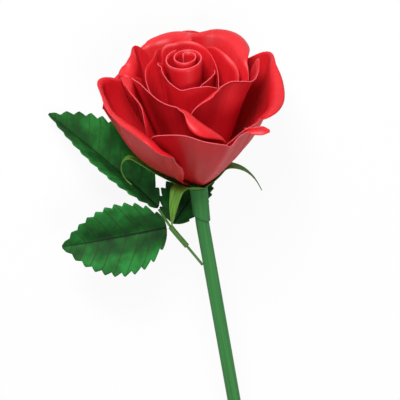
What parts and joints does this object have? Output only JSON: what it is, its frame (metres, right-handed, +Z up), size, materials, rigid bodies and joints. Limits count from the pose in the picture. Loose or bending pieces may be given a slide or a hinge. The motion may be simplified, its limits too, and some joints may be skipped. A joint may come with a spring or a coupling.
{
  "type": "paper rose",
  "caption": "Handmade paper rose: a rolled bud in rings of curled petals, a star-cut calyx, a rolled stem and one compound leaf with toothed leaflets.",
  "frame": {"origin": "centre of the bounding box at the level of the surface the flower lies on", "axes": "+Y from the stem's cut end towards the bloom, +Z up from the surface"},
  "size_m": [0.1156, 0.2794, 0.0833],
  "materials": {
    "petal_paper": "matt red craft paper",
    "stem_paper": "matt green craft paper",
    "leaf_paper": "dark green craft paper with drawn veins",
    "calyx_paper": "yellow-green craft paper",
    "wire_wrap_paper": "wire wrapped in light green paper"
  },
  "bodies": {
    "root": {"bud_roll": "petal_paper", "bud_petal_front": "petal_paper", "bud_petal_right": "petal_paper", "bud_petal_back": "petal_paper", "inner_petal_left": "petal_paper", "inner_petal_right": "petal_paper", "middle_petal_left": "petal_paper", "middle_petal_front": "petal_paper", "middle_petal_right": "petal_paper", "middle_petal_back_right": "petal_paper", "middle_petal_back_left": "petal_paper", "outer_petal_left": "petal_paper", "outer_petal_front": "petal_paper", "outer_petal_right": "petal_paper", "outer_petal_back": "petal_paper", "outer_petal_far_left": "petal_paper", "calyx": "calyx_paper", "neck_cone": "stem_paper", "stem_tube": "stem_paper", "leaf_wire": "wire_wrap_paper", "leaf_wire_sleeve": "wire_wrap_paper", "leaflet_end": "leaf_paper", "leaflet_left": "leaf_paper", "leaflet_right": "leaf_paper"}
  },
  "joints": []
}
